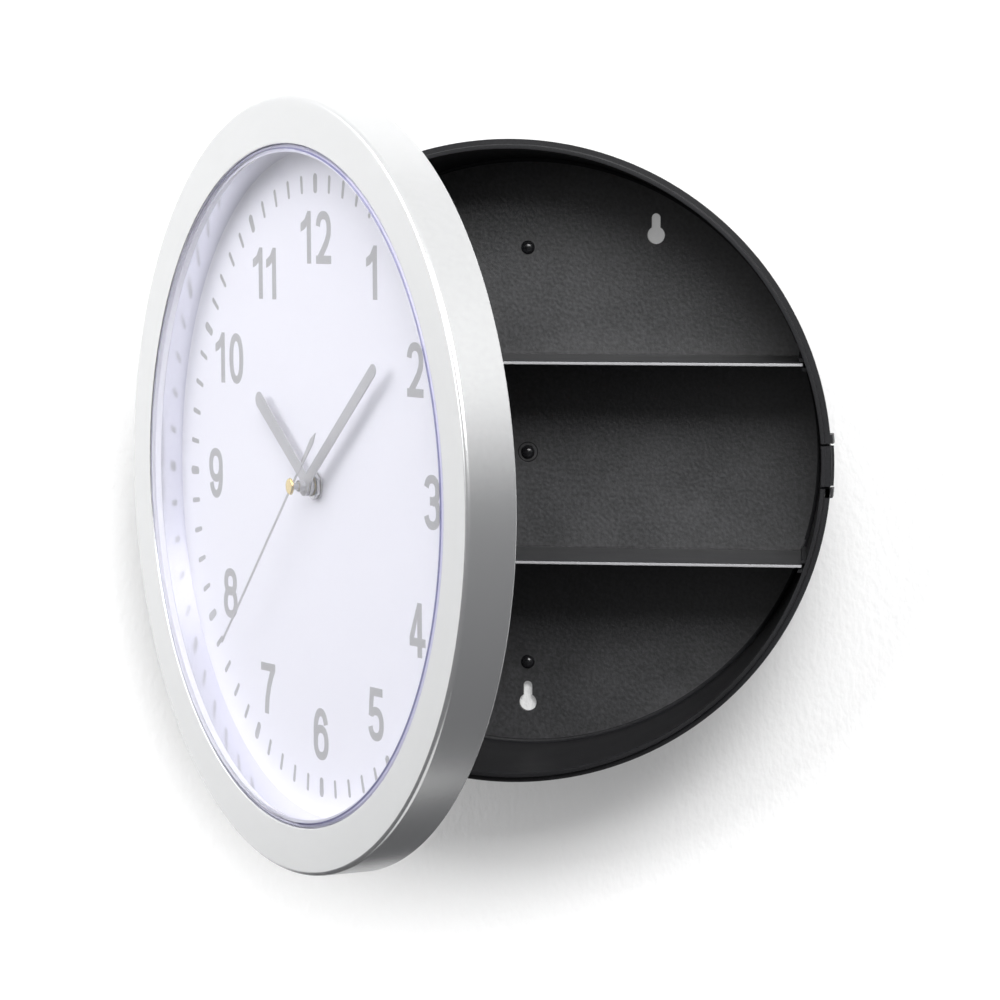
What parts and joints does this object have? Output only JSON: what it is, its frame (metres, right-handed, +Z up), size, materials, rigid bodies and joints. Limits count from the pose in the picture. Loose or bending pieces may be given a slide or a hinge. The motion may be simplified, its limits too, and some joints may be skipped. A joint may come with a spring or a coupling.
{
  "type": "clock diversion safe",
  "caption": "Round wall clock whose face is a hinged door in front of a shallow drum with shelves, used to hide small valuables.",
  "frame": {"origin": "centre of the drum's flat back, on the wall it hangs on", "axes": "+Y into the wall, +Z up, +X to the right seen from the front; the clock faces -Y"},
  "size_m": [0.2466, 0.2615, 0.254],
  "materials": {
    "drum_plastic": "matt black moulded plastic with a fine speckled grain",
    "plug_plastic": "glossy black",
    "shelf_plastic": "satin black, its front edge worn pale",
    "steel": "plain bright steel",
    "nut_steel": "bright nickel-plated",
    "nut_brass": "turned and threaded brass",
    "bezel_silver": "silver-white lacquered plastic with a soft sheen",
    "lens_clear": "clear moulded acrylic with a bevelled edge",
    "spacer_white": "glossy white",
    "dial_white": "satin white card-like sheet with printed grey marks",
    "cover_plastic": "matt black moulded plastic",
    "wheel_plastic": "natural white moulded acetal",
    "hand_grey": "stamped sheet lacquered silver-grey",
    "cap_brass": "polished gold-coloured brass",
    "coil_copper": "enamelled copper winding",
    "board_green": "green lacquered board",
    "cell_label": "plain dark printed sleeve over a steel can",
    "magnet_grey": "sintered dark grey",
    "knob_red": "red moulded plastic"
  },
  "bodies": {
    "drum": {"back_case": "drum_plastic", "shelf_upper": "shelf_plastic", "shelf_lower": "shelf_plastic", "back_plug_upper": "plug_plastic", "back_plug_middle": "plug_plastic", "back_plug_lower": "plug_plastic", "hinge_pin": "steel"},
    "latch": {"latch_tongue": "drum_plastic"},
    "door": {"bezel_ring": "bezel_silver", "lens": "lens_clear", "spacer_ring": "spacer_white", "dial": "dial_white", "back_cover": "cover_plastic", "cover_screw_1": "steel", "cover_screw_2": "steel", "cover_screw_3": "steel", "cover_screw_4": "steel", "cover_screw_5": "steel", "cover_screw_6": "steel", "movement_case": "cover_plastic", "movement_lid": "cover_plastic", "centre_bush": "nut_brass", "bush_washer": "steel", "bush_nut": "nut_steel", "train_bridge": "wheel_plastic", "stator": "steel", "coil": "coil_copper", "circuit_board": "board_green", "crystal_can": "steel", "battery_cell": "cell_label", "contact_positive": "steel", "contact_negative": "steel"},
    "second": {"second_wheel": "wheel_plastic", "second_hand": "hand_grey", "second_cap": "cap_brass"},
    "minute": {"minute_wheel": "wheel_plastic", "minute_hand": "hand_grey"},
    "hour": {"hour_wheel": "wheel_plastic", "hour_hand": "hand_grey"},
    "third": {"third_wheel": "wheel_plastic"},
    "fifth": {"fifth_wheel": "wheel_plastic"},
    "rotor": {"rotor_pinion": "wheel_plastic", "rotor_magnet": "magnet_grey"},
    "motion": {"motion_wheel": "wheel_plastic"},
    "knob": {"setting_knob": "knob_red"}
  },
  "joints": [
    {"name": "door_hinge", "type": "hinge", "parent": "drum", "child": "door", "pos_m": [-0.1186, -0.0572, 0], "axis": [0, 0, -1], "range_deg": [-53.6, 36.4]},
    {"name": "latch_flex", "type": "hinge", "parent": "drum", "child": "latch", "pos_m": [0.111, -0.034, 0], "axis": [0, 0, -1], "range_deg": [0, 3], "stiffness_Nm_per_rad": 0.5},
    {"name": "second_spin", "type": "hinge", "parent": "door", "child": "second", "pos_m": [-0.04822, -0.15266, 0], "axis": [0.8049, 0.5934, 0], "continuous": true},
    {"name": "minute_spin", "type": "hinge", "parent": "door", "child": "minute", "pos_m": [-0.04822, -0.15266, 0], "axis": [0.8049, 0.5934, 0], "continuous": true},
    {"name": "hour_spin", "type": "hinge", "parent": "door", "child": "hour", "pos_m": [-0.04822, -0.15266, 0], "axis": [0.8049, 0.5934, 0], "continuous": true},
    {"name": "third_spin", "type": "hinge", "parent": "door", "child": "third", "pos_m": [-0.0422, -0.16083, 0.00369], "axis": [0.8049, 0.5934, 0], "continuous": true},
    {"name": "fifth_spin", "type": "hinge", "parent": "door", "child": "fifth", "pos_m": [-0.04935, -0.15112, 0.01083], "axis": [0.8049, 0.5934, 0], "continuous": true},
    {"name": "rotor_spin", "type": "hinge", "parent": "door", "child": "rotor", "pos_m": [-0.04728, -0.15394, 0.0169], "axis": [0.8049, 0.5934, 0], "continuous": true},
    {"name": "motion_spin", "type": "hinge", "parent": "door", "child": "motion", "pos_m": [-0.05357, -0.1454, 0.00328], "axis": [0.8049, 0.5934, 0], "continuous": true},
    {"name": "knob_spin", "type": "hinge", "parent": "door", "child": "knob", "pos_m": [-0.0586, -0.13858, 0.00779], "axis": [0.8049, 0.5934, 0], "continuous": true}
  ],
  "couplings": [
    {"joint": "minute_spin", "follows": "second_spin", "ratio": 0.016667},
    {"joint": "hour_spin", "follows": "second_spin", "ratio": 0.0013889},
    {"joint": "third_spin", "follows": "second_spin", "ratio": -0.13333},
    {"joint": "fifth_spin", "follows": "second_spin", "ratio": -5},
    {"joint": "rotor_spin", "follows": "second_spin", "ratio": 30},
    {"joint": "motion_spin", "follows": "second_spin", "ratio": -0.0055556},
    {"joint": "knob_spin", "follows": "second_spin", "ratio": 0.016667}
  ]
}
